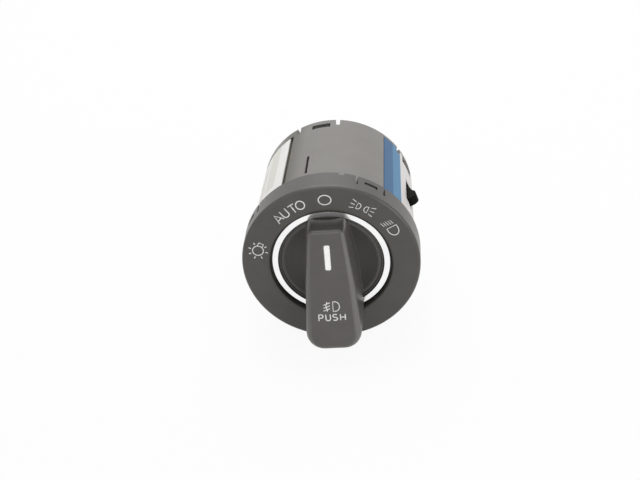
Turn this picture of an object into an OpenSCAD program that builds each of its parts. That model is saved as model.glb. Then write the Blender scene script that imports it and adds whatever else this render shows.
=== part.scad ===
// Rotary headlight switch for a dashboard: a deep round housing behind a flat bezel,
// with a turning knob that is also pushed in for the fog lamps.
// The panel face that the bezel seats on is the plane Y = 0, the knob looks along -Y, up is +Z.

/* [Bezel] */
// outer radius of the bezel
bezel_r = 32; // [28:0.5:38]
// width of the bezel's flat face, from its outer edge to the bright ring
face_w = 10.95; // [9:0.05:12]
// depth of the bezel from its front face to the panel seat
bezel_depth = 10; // [8.5:0.25:13]
// thickness of the bezel's side wall
bezel_wall = 1.8; // [1.2:0.1:2.4]
// thickness of the bezel's front face
bezel_face_t = 2.2; // [1.5:0.1:3]
// rounding of the bezel's front edge
bezel_round = 1.1; // [0.4:0.1:1.6]
// length of the tongue slits from the bezel's rear edge
bezel_slit_len = 5.4; // [4.5:0.1:6.5]
// width of the tongue slits and of the slits in the rear rim
slit_w = 0.9; // [0.5:0.1:1.6]

/* [Knob] */
// radial width of the bright ring round the knob
ring_w = 1.95; // [1.2:0.05:2.6]
// how far the bright ring lies behind the bezel's front face
ring_recess = 1.55; // [1:0.05:3]
// depth of the dished face below its lip
dish_depth = 1.1; // [0.3:0.1:1.6]
// wall thickness of the knob and its grip
knob_wall = 1.7; // [1.2:0.1:2.2]
// how far the knob is pushed in
push_travel = 2; // [1:0.1:2.5]

/* [Grip] */
// height of the grip's front face above the bezel's face, at the axis
grip_h = 11.2; // [8:0.2:16]
// rise of the grip's front face for each millimetre towards its low end
grip_slope = 0.25; // [0:0.01:0.4]
// distance from the edge of the knob's disc in to the grip's upper end
grip_end = 0.65; // [0.2:0.05:3]
// how far the grip's lower end reaches past the bright ring
grip_over = 4.45; // [1:0.05:6]
// half width of the grip's face at its upper end
grip_w_top = 6.7; // [5:0.1:9]
// half width of the grip's face at mid height
grip_w_mid = 8.8; // [6:0.1:11]
// half width of the grip's face at its lower end
grip_w_low = 9.9; // [7:0.1:12]
// how much wider the grip is at its foot, each side
grip_draft = 0.7; // [0:0.1:1.5]
// length of the white pointer slot
pointer_len = 9.2; // [6:0.2:11]
// width of the white pointer slot
pointer_w = 2.1; // [1.2:0.1:3]
// distance from the grip's upper end to the middle of the pointer slot
pointer_in = 9.8; // [6:0.1:12]

/* [Housing] */
// how much smaller the housing's radius is at its rear rim than at the panel seat
body_taper = 1.1; // [0:0.1:2]
// depth of the housing behind the circuit board
rear_room = 17.6; // [15:0.2:24]
// wall thickness of the housing
body_wall = 1.8; // [1.4:0.1:2.4]
// width of the tongues in the rear rim, in degrees
rim_tongue_span = 31; // [20:1:36]
// length of the slits in the rear rim
rim_slit_len = 4.6; // [3:0.1:6]

/* [Turning parts] */
// outer radius of the rotor where it turns in the housing
rotor_r = 12.65; // [11.5:0.05:14]
// wall thickness of the rotor's tube
rotor_wall = 3.4; // [2.8:0.1:4]
// depth of the rotor behind the panel seat
rotor_depth = 24; // [21:0.2:25]
// angle between two switch positions
detent_step = 30; // [20:1:36]
// radial clearance of the turning and sliding fits
fit = 0.05; // [0.02:0.01:0.1]

/* [Board and connector] */
// distance from the end of the rotor to the circuit board
board_gap = 4; // [3.6:0.1:6]
// thickness of the circuit board
board_t = 1.6; // [1:0.1:2]
// width inside the connector socket
socket_w = 22; // [18:0.5:26]
// height inside the connector socket
socket_h = 10; // [8:0.5:12]
// how far the connector socket stands out past the rear rim
socket_out = 3; // [0:0.2:8]
// distance between neighbouring terminal pins
pin_pitch = 3.2; // [2.5:0.1:4]
// width of a terminal pin
pin_w = 0.8; // [0.6:0.05:1.2]

/* [Side clips and labels] */
// tangential width of a side clip
clip_w = 3.4; // [2.6:0.2:8]
// how far a side clip stands out of the housing
clip_out = 3.2; // [1.5:0.1:4.5]
// clock angle of the right side clip
clip_angle = 73.5; // [65:0.5:90]
// thickness of the stuck-on labels
label_t = 0.3; // [0.1:0.05:0.35]

/* [Hidden] */
$fn = 96;
gap = 0.2;
seat = 0.02;
bezel_in = bezel_r - bezel_wall;
body_r_front = bezel_in - gap;
board_z = rotor_depth + board_gap;
board_back = board_z + board_t;
body_depth = board_back + rear_room;
body_r_rear = body_r_front - body_taper;
ring_r = bezel_r - face_w;
bore_r = ring_r + 0.35;
bore_lip_w = 1.6;
bore_lip_d = 1;
ring_in = ring_r - ring_w;
knob_r = ring_in - fit;
knob_flat = knob_r - 10.05;
post_x = knob_r - 3.55;
grip_top = knob_r - grip_end;
grip_low = ring_r + grip_over;
pointer_up = grip_top - pointer_in;
ring_front = -bezel_depth + ring_recess;
lip_z = ring_front + 0.6;
dish_z = lip_z + dish_depth;
flange_z = -3.4;
flange_t = 1.4;
flange_back = flange_z + flange_t;
rotor_front = flange_back + push_travel + 0.4;
clip_ring_z = rotor_front + 0.6;
detent_r = body_r_rear - 9.9;
plate_z = clip_ring_z + 1.2;
plate_t = 2.4;
disc_z = plate_z + plate_t + gap;
disc_t = 3.4;
floor_t = 1.6;
bearing_r = rotor_r + fit;
hub_r = rotor_r - rotor_wall - fit;
hub_end = rotor_depth - floor_t - push_travel - 4;
carrier_t = 1.4;
carrier_r = 15;
rod_r = 2;
rod_end = rotor_depth + 1.2;
board_r = body_r_rear - body_wall - 0.9;
boss_r = board_r - 2;
leg_r = body_r_rear - 3.3;
vent_r = rotor_r + 3.95;
cover_r = body_r_rear - body_wall - 0.15;
cover_z = body_depth - 5.2;
cover_t = 2;
socket_down = cover_r - 12.45;
socket_wall = 1.6;
socket_end = body_depth + socket_out;
socket_floor = cover_z - 5;
pin_tip = socket_end - 6.2;
window_z = body_depth - 6.2;
window_h = 3;
rim_tongues = [-10.5, 74, 169.5, 254];
rim_windows = [-7.5, 72.4, 169.5, 254];
window_w = 7;
bezel_tongues = [30.6, 120.6, 210.6, 300.6];
bezel_tongue_span = 19.2;
key_angle = 11;
boss_angles = [60, 180, 300];
lamp_angles = [0, 120, 240];
face_angle = atan(grip_slope);
clip_z0 = 16.2;
clip_z1 = 29.1;
clip_nose = 2.9;
label_z0 = 3;
blue_from = 42.8;
label_right_to = 112;
label_left_from = -34.3;
label_left_to = -94;
label_left_end = body_depth - 6.4;
label_right_end = body_depth - 2.4;
pocket_depth = 0.5;
label_bed = 0.25;
groove_depth = 1.1;
groove_span = 3.6;
spring_line = detent_r + 1.1;
stop_span = 8.6;
clip_leg_in = board_r + 0.35;
clip_leg_t = 0.8;

// which piece is shown

function clock(a, r) = [r * sin(a), -r * cos(a)];
function body_r(z) = z < 0 ? body_r_front : body_r_front - (body_r_front - body_r_rear) * z / body_depth;
function arc(cx, cy, r, a0, a1, n) = [for (i = [0:n]) let (a = a0 + (a1 - a0) * i / n)
    [cx + r * cos(a), cy + r * sin(a)]];
function face_z(u) = -bezel_depth - grip_h + grip_slope * u;

// turns the working direction of a piece, depth along Z, into the switch's own frame
module on_axis() {
    rotate([-90, 0, 0]) children();
}

// puts a piece at a clock angle, seen from the front, and a distance from the axis
module at_clock(a, r) {
    rotate([0, 0, a]) translate([0, -r, 0]) children();
}

module tube(ro, ri, z0, z1) {
    translate([0, 0, z0]) difference() {
        cylinder(r = ro, h = z1 - z0);
        translate([0, 0, -1]) cylinder(r = ri, h = z1 - z0 + 2);
    }
}

module disc(r, z0, z1) {
    translate([0, 0, z0]) cylinder(r = r, h = z1 - z0);
}

// the part of a piece that lies between two clock angles
module slice(a0, a1, z0, z1, r) {
    intersection() {
        children();
        translate([0, 0, z0]) linear_extrude(z1 - z0)
            polygon([[0, 0], clock(a0, 2 * r), clock((a0 + a1) / 2, 2 * r), clock(a1, 2 * r)]);
    }
}

// a bar that runs outward at a clock angle, from one radius to another
module bar(a, r0, r1, w, z0, z1) {
    rotate([0, 0, a]) translate([-w / 2, -r1, z0]) cube([w, r1 - r0, z1 - z0]);
}

module round_bar(w, h, r, t) {
    linear_extrude(t) union() {
        square([w - 2 * r, h], center = true);
        square([w, h - 2 * r], center = true);
        for (x = [-1, 1], y = [-1, 1]) translate([x * (w / 2 - r), y * (h / 2 - r)]) circle(r = r);
    }
}

// a skin that follows the tapered wall of the housing
module wall_skin(depth_in, t, z0, z1) {
    rotate_extrude() polygon([
        [body_r(z0) - depth_in, z0], [body_r(z0) - depth_in + t, z0],
        [body_r(z1) - depth_in + t, z1], [body_r(z1) - depth_in, z1]]);
}

// housing: an open cup with a bearing plate across its front
module housing_shell() {
    rotate_extrude() polygon([
        [body_r_front - body_wall, -5.4], [body_r_front - 0.6, -5.4], [body_r_front, -4.8],
        [body_r_front, 0], [body_r_rear, body_depth - 0.5], [body_r_rear - 0.5, body_depth],
        [body_r_rear - body_wall, body_depth], [body_r_rear - body_wall, board_z],
        [body_r_front - body_wall, 0]]);
    // bearing plate
    tube(body_r_front - body_wall + 0.3, bearing_r, plate_z, plate_z + plate_t);
}

// keeps what is inside from reaching through the housing's wall
module within_wall() {
    intersection() {
        children();
        rotate_extrude() polygon([
            [0, 0], [body_r_front - body_wall / 2, 0],
            [body_r_rear - body_wall / 2, body_depth], [0, body_depth]]);
    }
}

module clip_window(extra) {
    translate([-clip_w / 2 - extra, -clip_out - 3, clip_z0 - extra])
        cube([clip_w + 2 * extra, 12, clip_z1 - clip_z0 + 2 * extra]);
}

module housing() {
    color("dimgray") on_axis() {
        difference() {
            housing_shell();
            // slits that free the tongues of the rear rim, and the windows in them
            for (a = rim_tongues) {
                for (s = [-1, 1])
                    bar(a + s * rim_tongue_span / 2, body_r_rear - 4, body_r_rear + 2, slit_w * 1.8,
                        body_depth - rim_slit_len, body_depth + 1);
            }
            for (a = rim_windows)
                bar(a, body_r_rear - 4, body_r_rear + 2, window_w, window_z, window_z + window_h);
            // narrow slit in the upper wall
            bar(-14, body_r_front - 5, body_r_front + 2, slit_w, 5.6, 18.8);
            // openings for the side clips
            for (s = [0, 180]) at_clock(clip_angle + s, body_r_front) clip_window(0.3);
            // shallow pocket for the left label, and the groove along its upper edge
            slice(label_left_to - 2, label_left_from + 1, label_z0 - 2, label_left_end + 1.5, body_r_front)
                wall_skin(pocket_depth, 3, label_z0 - 2, label_left_end + 1.5);
            slice(label_left_from + 0.5, label_left_from + 0.5 + groove_span, label_z0 - 2,
                  label_left_end + 1.5, body_r_front)
                wall_skin(groove_depth, 3, label_z0 - 2, label_left_end + 1.5);
            // very shallow bed under the right label
            slice(blue_from - 0.4, label_right_to + 0.4, label_z0 - 0.3, label_right_end + 0.3, body_r_front)
                wall_skin(label_bed, 3, label_z0 - 0.3, label_right_end + 0.3);
            // holes for the legs of the light guide
            for (a = lamp_angles) at_clock(a, leg_r) disc(1.8, plate_z - 1, plate_z + plate_t + 1);
            // cable-free vents in the bearing plate
            for (a = [35, 90, 150, 210, 270, 325]) at_clock(a, vent_r) disc(1.4, plate_z - 1, plate_z + plate_t + 1);
        }
        // lugs that hold the bezel's tongues
        for (a = bezel_tongues)
            bar(a, body_r_front - 0.6, body_r_front + 1.4, 4.2, -4, -2.8);
        // key that fits the notch in the bezel's rear edge
        bar(key_angle, body_r_front - 0.6, bezel_r - 0.5, 1.6, -1.1, 0);
        // long ribs inside the wall
        within_wall() for (a = [30, 105, 135, 210, 285, 330])
            bar(a, body_r_rear - body_wall - 1.2, body_r_front, 1.4, plate_z + 0.5, board_z - 0.2);
        // screw bosses for the board
        for (a = boss_angles) difference() {
            union() {
                at_clock(a, boss_r) disc(2.3, plate_z + 0.5, board_z);
                within_wall() bar(a, boss_r, body_r_front, 1.6, plate_z + 0.5, board_z - 0.6);
            }
            at_clock(a, boss_r) disc(1, board_z - 8, board_z + 1);
        }
        // posts that hold the ends of the detent spring
        for (s = [-1, 1]) difference() {
            translate([s * 10.6 - 1.3, -spring_line - 1.7, plate_z + 0.5])
                cube([2.6, 3, disc_z + disc_t - plate_z - 0.3]);
            translate([s * 9.6 - 1.5, -spring_line - 0.25, disc_z - 0.1])
                cube([3, 0.5, disc_t + 3]);
        }
        // stops at both ends of the turn
        for (a = [180 - detent_step - stop_span, 180 + 2 * detent_step + stop_span])
            bar(a, detent_r + 0.3, detent_r + 2.6, 2.6, plate_z + 0.5, disc_z + disc_t);
        // blocks that hold the feet of the side clips
        for (s = [0, 180]) difference() {
            within_wall() at_clock(clip_angle + s, 0) translate([-3.6, -body_r_front, plate_z + 0.5])
                cube([7.2, 6, 6.5]);
            at_clock(clip_angle + s, 0)
                translate([-clip_w / 2 - fit, -clip_leg_in - clip_leg_t - fit, plate_z + plate_t + 0.4])
                    cube([clip_w + 2 * fit, clip_leg_t + 2 * fit, 8]);
        }
    }
}

// rear cover with the connector socket
module rear_cover() {
    color("darkslategray") on_axis() difference() {
        union() {
            disc(cover_r, cover_z, cover_z + cover_t);
            tube(cover_r, cover_r - 1.6, board_back + 1.6, cover_z + 0.5);
            // lugs that snap into the windows of the rear rim
            for (a = rim_windows)
                bar(a, cover_r - 1, body_r_rear - 0.5, window_w - 0.8, window_z + 0.4, window_z + window_h - 0.4);
            // stiffening ribs on the back
            for (a = [0, 60, 120, 240, 300])
                bar(a, a == 0 ? 0 : 8, cover_r - 2.4, 1.4, cover_z + cover_t - 0.2, cover_z + cover_t + 1.4);
            tube(cover_r - 1.8, cover_r - 3.2, cover_z + cover_t - 0.2, cover_z + cover_t + 1.4);
            // socket body
            translate([0, socket_down, socket_floor])
                round_bar(socket_w + 2 * socket_wall, socket_h + 2 * socket_wall, 2.4,
                          socket_end - socket_floor);
            // keys outside the socket mouth
            for (x = [-1, 1]) translate([x * (socket_w / 2 - 2.6) - 1, socket_down - socket_h / 2 - 3,
                                         cover_z + cover_t])
                cube([2, 2.4, socket_end - cover_z - cover_t - 1.4]);
        }
        // socket cavity
        translate([0, socket_down, socket_floor + 1.6])
            round_bar(socket_w, socket_h, 1, socket_end);
        // latch slot in the upper wall of the socket
        translate([-2.6, socket_down - socket_h / 2 - socket_wall - 0.5, socket_end - 4.2])
            cube([5.2, socket_wall + 1, 1.8]);
        pin_places() translate([-pin_w / 2 - 0.1, -pin_w / 2 - 0.1, socket_floor - 1])
            cube([pin_w + 0.2, pin_w + 0.2, 4]);
        // slits beside the snap lugs
        for (a = rim_windows, s = [-1, 1])
            bar(a + s * 9.5, cover_r - 2.2, cover_r + 1, 0.8, board_back, cover_z + cover_t - 0.8);
    }
}

module pin_places() {
    for (i = [-2.5:1:2.5], s = [-1, 1])
        translate([i * pin_pitch, socket_down + s * 2, 0]) children();
}

// bezel: flat ring face, bore for the knob, side wall with snap tongues
module bezel() {
    front = -bezel_depth;
    color("#3b3b3a") on_axis() difference() {
        rotate_extrude() polygon(concat(
            [[bore_r + bore_lip_w, front], [bezel_r - bezel_round, front]],
            arc(bezel_r - bezel_round, front + bezel_round, bezel_round, -75, 0, 5),
            [[bezel_r, 0], [bezel_in, 0], [bezel_in, front + bezel_face_t],
             [bore_r + 1.5, front + bezel_face_t], [bore_r + 1.5, front + 5.6], [bore_r, front + 5.6]],
            // soft inner edge that leads the eye down to the bright ring
            [for (t = [0:15:75]) [bore_r + bore_lip_w * (1 - cos(t)), front + bore_lip_d * (1 - sin(t))]]));
        for (a = bezel_tongues) {
            for (s = [-1, 1])
                bar(a + s * bezel_tongue_span / 2, bezel_in - 1, bezel_r + 1, slit_w, -bezel_slit_len, 1);
            bar(a, bezel_in - 1, bezel_r + 1, 5, -4.3, -2.5);
        }
        // notch over the key of the housing
        bar(key_angle, bezel_in - 1, bezel_r + 1, 2, -1.4, 1);
    }
}

// clear ring behind the bezel that lights the symbols, with three legs down to the board's lamps
module bezel_light_guide() {
    z0 = -bezel_depth + bezel_face_t + seat;
    color("lightcyan") on_axis() union() {
        tube(bezel_in - 0.7, bore_r + 1.9, z0, z0 + 1.6);
        for (a = lamp_angles) at_clock(a, leg_r) disc(1.5, z0 + 1, board_z - 1.3);
    }
}

// one corner of the grip: a disc with a rounded edge that lies on the sloped face, over a round foot
module grip_corner(x, u, r, round, inset, low) {
    rc = max(r - inset, 0.6);
    b = min(round, 0.8 * rc);
    translate([x, -u, face_z(u) + inset]) rotate([-face_angle, 0, 0]) rotate_extrude($fn = 32)
        polygon(concat([[0, 0]], arc(rc - b, b, b, -90, 0, 6), [[0, b]]));
    translate([x + sign(x) * grip_draft, -u, low - 1]) cylinder(r = rc, h = 1, $fn = 32);
}

// solid form of the grip; inset shrinks it to the hollow inside
module grip_form(inset, low) {
    rt = 2.2;
    rm = 4.2;
    rl = 6.4;
    hull() for (s = [-1, 1]) {
        grip_corner(s * (grip_w_top - rt), grip_top - rt, rt, 1.8, inset, low);
        grip_corner(s * (grip_w_mid - rm), -2, rm, 2.5, inset, low);
        grip_corner(s * (grip_w_low - rl), -(grip_low - rl), rl, 2.9, inset, low);
    }
}

// place and direction of the pointer slot on the sloped face
module at_pointer() {
    translate([0, -pointer_up, face_z(pointer_up)]) rotate([-face_angle, 0, 0]) children();
}

// knob: dished disc and grip in one hollow moulding
module knob() {
    over_bezel = -bezel_depth - push_travel - 0.6;
    color("#464645") on_axis() difference() {
        union() {
            rotate_extrude() polygon(concat(
                [[0, dish_z], [knob_flat, dish_z]],
                arc(knob_flat, dish_z - 26, 26, 90, 72, 6),
                [[knob_r - 1, lip_z + 0.12], [knob_r - 0.5, lip_z], [knob_r, lip_z + 0.3],
                 [knob_r, flange_z], [knob_r - knob_wall, flange_z], [knob_r - knob_wall, dish_z + knob_wall],
                 [0, dish_z + knob_wall]]));
            difference() {
                grip_form(0, dish_z + 0.8);
                // room over the bezel and the bright ring
                tube(60, ring_r + 0.1, over_bezel, 5);
                tube(60, knob_r, ring_front - 0.1, 5);
            }
            // posts that snap into the sleeve
            for (x = [-1, 1]) translate([x * post_x, 0, 0]) {
                disc(1.3, dish_z + 0.5, flange_back + 0.2);
                disc(1.6, flange_back + 0.05, flange_back + 0.5);
            }
        }
        // hollow inside the grip
        difference() {
            grip_form(knob_wall, dish_z + knob_wall + 0.2);
            tube(60, knob_r - knob_wall, over_bezel + knob_wall, 5);
            tube(60, knob_r - knob_wall - 0.2, dish_z - 1, 5);
        }
        // slot of the pointer
        at_pointer() translate([0, 0, -2]) round_bar(pointer_w, pointer_len, 0.6, knob_wall + 4);
    }
}

// bright ring round the knob
module knob_ring() {
    color("silver") on_axis() rotate_extrude() polygon([
        [ring_in, ring_front + 0.3], [ring_in + 0.1, ring_front + 0.1], [ring_in + 0.35, ring_front],
        [ring_r - 0.3, ring_front], [ring_r - 0.08, ring_front + 0.08], [ring_r, ring_front + 0.3],
        [ring_r, flange_z], [ring_in, flange_z]]);
}

// white pointer lens with its light stem
module pointer_lens() {
    inner = knob_wall / cos(face_angle);
    color("white") on_axis() union() {
        at_pointer() {
            translate([0, 0, 0.05]) round_bar(pointer_w - 2 * fit, pointer_len - 2 * fit, 0.55, inner);
            translate([0, 0, knob_wall + 0.08]) round_bar(pointer_w + 1.6, pointer_len + 1.6, 1, 1);
        }
        translate([0, -pointer_up, face_z(pointer_up) + knob_wall + 0.6])
            cylinder(r = 1.6, h = flange_z - face_z(pointer_up) - knob_wall - 0.6);
    }
}

// sleeve under the knob: flange, keyed hub and push rod
module knob_sleeve() {
    color("gainsboro") on_axis() difference() {
        union() {
            disc(ring_r - 0.05, flange_z, flange_back);
            tube(hub_r, hub_r - 1.6, flange_back - 0.2, hub_end);
            for (a = [0, 120, 240]) bar(a, hub_r - 0.6, hub_r + 1.1, 2.4, flange_back + 2.6, hub_end);
            disc(rod_r, flange_back - 0.2, rod_end - 0.6);
            translate([0, 0, rod_end - 0.6]) cylinder(r1 = rod_r, r2 = rod_r - 0.6, h = 0.6);
            // stiffening ribs on the back of the flange, outside the rotor and its ring
            for (a = [0:60:300])
                bar(a, rotor_r + 2.2, ring_r - 1, 1.2, flange_back - 0.2, flange_back + 1.2);
        }
        for (x = [-1, 1]) translate([x * post_x, 0, 0]) disc(1.3 + fit, flange_z - 1, flange_back + 1);
    }
}

// rotor: bearing tube with keyways, notched detent disc and end-stop lug
module rotor() {
    inner = rotor_r - rotor_wall;
    color("lightslategray") on_axis() difference() {
        union() {
            disc(rotor_r, rotor_front, rotor_depth);
            disc(detent_r, disc_z, disc_z + disc_t);
            bar(180, detent_r - 0.5, detent_r + 1.8, 2.8, disc_z, disc_z + disc_t);
            for (a = [60, 180, 300]) at_clock(a, 10.9) disc(0.9, rotor_depth - 0.5, rotor_depth + carrier_t);
        }
        disc(inner, rotor_front - 1, rotor_depth - floor_t);
        disc(rod_r + fit, rotor_depth - floor_t - 1, rotor_depth + 2);
        // keyways for the sleeve
        for (a = [0, 120, 240]) bar(a, inner - 1, inner + 1.2, 2.4 + 2 * fit, rotor_front - 1, rotor_depth - floor_t - 1);
        // one notch for each switch position
        for (i = [-2:1]) at_clock(-i * detent_step - detent_step, detent_r + 0.65)
            disc(1.65, disc_z - 1, disc_z + disc_t + 1);
        // groove for the retaining ring
        tube(rotor_r + 1, rotor_r - 0.9, clip_ring_z, clip_ring_z + 1);
        for (a = [45:90:315]) at_clock(a, (rotor_r + detent_r) / 2)
            disc((detent_r - rotor_r) * 0.236, disc_z - 1, disc_z + disc_t + 1);
    }
}

// open spring ring that keeps the rotor in its bearing
module rotor_retaining_ring() {
    color("slategray") on_axis() difference() {
        tube(rotor_r + 1.6, rotor_r - 0.85, clip_ring_z + 0.05, clip_ring_z + 0.95);
        bar(180, 0, rotor_r + 4, 7, clip_ring_z - 1, clip_ring_z + 2);
    }
}

// disc that carries the wipers
module contact_carrier() {
    color("peru") on_axis() difference() {
        disc(carrier_r, rotor_depth, rotor_depth + carrier_t);
        disc(3, rotor_depth - 1, rotor_depth + 3);
        for (a = [60, 180, 300]) at_clock(a, 10.9) disc(0.9 + fit, rotor_depth - 1, rotor_depth + 3);
        for (a = [0, 120, 240]) bar(a, 5, 8.4, 5, rotor_depth - 1, rotor_depth + 3);
    }
}

// spring fingers that wipe over the board
module wiper_contacts() {
    back = rotor_depth + carrier_t;
    color("goldenrod") on_axis() for (a = [30, 150, 270]) rotate([0, 0, a])
        for (r = [7.6, 10.4]) translate([0, -r, back]) rotate([90, 0, 0]) translate([0, 0, -0.9])
            linear_extrude(1.8) polygon([
                [-3, seat], [0, seat], [3.4, board_z - back - 0.7], [4.4, board_z - back - 0.15],
                [5.4, board_z - back - 0.7], [5.6, board_z - back - 0.5], [4.4, board_z - back - 0.05],
                [3.2, board_z - back - 0.45], [-0.1, 0.27], [-3, 0.27]]);
}

// leaf spring whose nose rests in a notch of the rotor
module detent_spring() {
    color("lightsteelblue") on_axis() translate([0, -spring_line, disc_z + 0.2]) linear_extrude(disc_t - 0.6)
        union() {
            difference() {
                circle(r = 1.3);
                circle(r = 0.9);
                translate([-2, -4]) square([4, 4]);
            }
            for (s = [-1, 1]) translate([s * 5.9 - 4.95, -0.2]) square([9.9, 0.4]);
        }
}

// points of a round wire wound into a coil
function ring_points(c, r, t) = [for (j = [0:7]) let (b = j * 45)
    [(c + r * cos(b)) * cos(t), (c + r * cos(b)) * sin(t), r * sin(b)]];

module coil(c, wire, turns, length) {
    per = 20;
    n = turns * per;
    rise = length - 2 * wire;
    pts = [for (i = [0:n], p = ring_points(c, wire, i * 360 / per)) p + [0, 0, wire + rise * i / n]];
    faces = concat(
        [[for (j = [7:-1:0]) j]],
        [for (i = [0:n - 1], j = [0:7]) [i * 8 + j, i * 8 + (j + 1) % 8, i * 8 + 8 + (j + 1) % 8, i * 8 + 8 + j]],
        [[for (j = [0:7]) n * 8 + j]]);
    polyhedron(points = pts, faces = faces);
}

// spring that returns the pushed knob
module return_spring() {
    color("lightgray") on_axis() translate([0, 0, flange_back + seat])
        coil(5.4, 0.5, 9, rotor_depth - floor_t - flange_back - 2 * seat);
}

// circuit board
module circuit_board() {
    color("darkgreen") on_axis() difference() {
        disc(board_r, board_z, board_back);
        disc(2.2, board_z - 1, board_back + 1);
        for (a = boss_angles) at_clock(a, boss_r) disc(1.3, board_z - 1, board_back + 1);
        pin_places() translate([0, 0, board_z - 1]) cylinder(r = pin_w * 0.75, h = board_t + 2);
        bar(0, board_r - 1, board_r + 1, 3, board_z - 1, board_back + 1);
    }
}

// three pan-head screws for the board
module board_screws() {
    color("gray") on_axis() for (a = boss_angles) at_clock(a, boss_r) difference() {
        union() {
            disc(2.1, board_back, board_back + 1.1);
            disc(0.95, board_z - 6, board_back + 0.2);
        }
        translate([-1.4, -0.25, board_back + 0.5]) cube([2.8, 0.5, 2]);
        translate([-0.25, -1.4, board_back + 0.5]) cube([0.5, 2.8, 2]);
    }
}

// push switch for the fog lamps, behind the board
module fog_switch() {
    color("black") on_axis() difference() {
        translate([-5, -4, board_back + seat]) cube([10, 8, 6.6]);
        disc(1.65 + fit, board_back - 1, board_back + 1.2);
        disc(2.2, board_back + 1, board_back + 5.2);
    }
}

module fog_switch_plunger() {
    color("white") on_axis() union() {
        disc(1.65, rod_end + 0.1, board_back + 1.8);
        disc(2.1, board_back + 1.25, board_back + 2.4);
    }
}

// terminal pins, soldered to the board and standing in the socket
module terminal_pins() {
    color("gold") on_axis() pin_places() {
        translate([-pin_w / 2, -pin_w / 2, board_z + 0.1]) cube([pin_w, pin_w, pin_tip - board_z - 0.9]);
        translate([0, 0, pin_tip - 0.8]) rotate([0, 0, 45])
            cylinder(r1 = pin_w * 0.7071, r2 = pin_w * 0.35, h = 0.8, $fn = 4);
    }
}

// three lamps under the legs of the light guide
module board_lamps() {
    color("lightyellow") on_axis() for (a = lamp_angles) bar(a, leg_r - 1, leg_r + 0.6, 2.8, board_z - 0.9, board_z);
}

// small soldered parts on the back of the board
module board_components() {
    color("saddlebrown") on_axis() {
        for (x = [-14, -10, 10, 14]) translate([x - 0.9, -14, board_back]) cube([1.8, 3.2, 1]);
        for (x = [-13, 13]) translate([x, -4, board_back]) cylinder(r = 2.6, h = 5.4);
        translate([-4, -17.5, board_back]) cube([8, 6, 1.6]);
    }
}

// side clip: spring leg inside the wall with a ramped head that stands out of it
module side_clip(a) {
    skin = body_r(clip_z0);
    leg = clip_leg_in + clip_leg_t;
    on_axis() rotate([0, 0, a]) union() {
        rotate([90, 0, 90]) translate([0, 0, -clip_w / 2]) linear_extrude(clip_w) polygon(concat(
            [[-clip_leg_in, clip_z1 - 0.1], [-skin + 0.5, clip_z1 - 0.1], [-skin - 1.2, clip_z0 + 6.9]],
            arc(-skin - clip_out + clip_nose, clip_z0 + clip_nose, clip_nose, 122, 262, 10),
            [[-skin + 0.4, clip_z0], [-clip_leg_in, clip_z0]]));
        translate([-clip_w / 2, -leg, plate_z + plate_t + 0.5])
            cube([clip_w, clip_leg_t, clip_z1 - plate_z - plate_t - 0.9]);
    }
}

module side_clip_right() {
    color("#22241f") side_clip(clip_angle);
}

module side_clip_left() {
    color("#22241f") side_clip(clip_angle + 180);
}

// label on the right, cut out round the side clip
module label_right() {
    color("white") on_axis() difference() {
        slice(blue_from, label_right_to, label_z0, label_right_end, body_r_front)
            wall_skin(label_bed - seat, label_t, label_z0, label_right_end);
        at_clock(clip_angle, body_r_front) clip_window(0.9);
        bar(rim_windows[1], body_r_rear - 4, body_r_rear + 3, window_w + 1.6, window_z - 0.8, window_z + window_h + 4);
        bar(rim_tongues[1] - rim_tongue_span / 2, body_r_rear - 4, body_r_rear + 3, slit_w * 1.8 + 0.8,
            body_depth - rim_slit_len - 0.5, body_depth);
        bar(rim_tongues[1] + rim_tongue_span / 2, body_r_rear - 4, body_r_rear + 3, slit_w * 1.8 + 0.8,
            body_depth - rim_slit_len - 0.5, body_depth);
    }
}

// label on the left, in its shallow pocket
module label_left() {
    color("whitesmoke") on_axis()
        slice(label_left_to, label_left_from, label_z0, label_left_end, body_r_front)
            wall_skin(pocket_depth - seat, label_t, label_z0, label_left_end);
}

housing();
rear_cover();
bezel();
bezel_light_guide();
knob();
knob_ring();
pointer_lens();
knob_sleeve();
rotor();
rotor_retaining_ring();
contact_carrier();
wiper_contacts();
detent_spring();
return_spring();
circuit_board();
board_screws();
fog_switch();
fog_switch_plunger();
terminal_pins();
board_lamps();
board_components();
side_clip_right();
side_clip_left();
label_right();
label_left();
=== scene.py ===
from math import sin, cos, radians

import bmesh
import bpy
from mathutils import Matrix, Vector


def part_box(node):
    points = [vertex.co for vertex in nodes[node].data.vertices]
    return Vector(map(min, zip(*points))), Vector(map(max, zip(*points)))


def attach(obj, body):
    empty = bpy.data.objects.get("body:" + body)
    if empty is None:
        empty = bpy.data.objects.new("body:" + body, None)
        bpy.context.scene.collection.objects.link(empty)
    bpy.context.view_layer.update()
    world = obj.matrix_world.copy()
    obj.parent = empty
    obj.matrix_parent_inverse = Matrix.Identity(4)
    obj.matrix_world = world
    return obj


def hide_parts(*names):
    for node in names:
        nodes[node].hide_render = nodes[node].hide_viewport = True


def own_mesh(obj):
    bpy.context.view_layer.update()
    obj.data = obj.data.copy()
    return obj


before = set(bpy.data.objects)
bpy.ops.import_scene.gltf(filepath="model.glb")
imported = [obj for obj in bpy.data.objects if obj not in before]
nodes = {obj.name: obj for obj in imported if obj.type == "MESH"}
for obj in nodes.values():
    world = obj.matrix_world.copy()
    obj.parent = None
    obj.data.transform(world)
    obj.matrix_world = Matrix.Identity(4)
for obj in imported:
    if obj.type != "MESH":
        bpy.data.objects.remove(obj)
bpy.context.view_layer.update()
mm = 0.001


def linearHex(code):
    # sRGB hex to the linear colour that shaders want
    values = [int(code[i:i + 2], 16) / 255 for i in (1, 3, 5)]
    return tuple(v / 12.92 if v <= 0.04045 else ((v + 0.055) / 1.055) ** 2.4 for v in values) + (1.0,)


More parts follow.
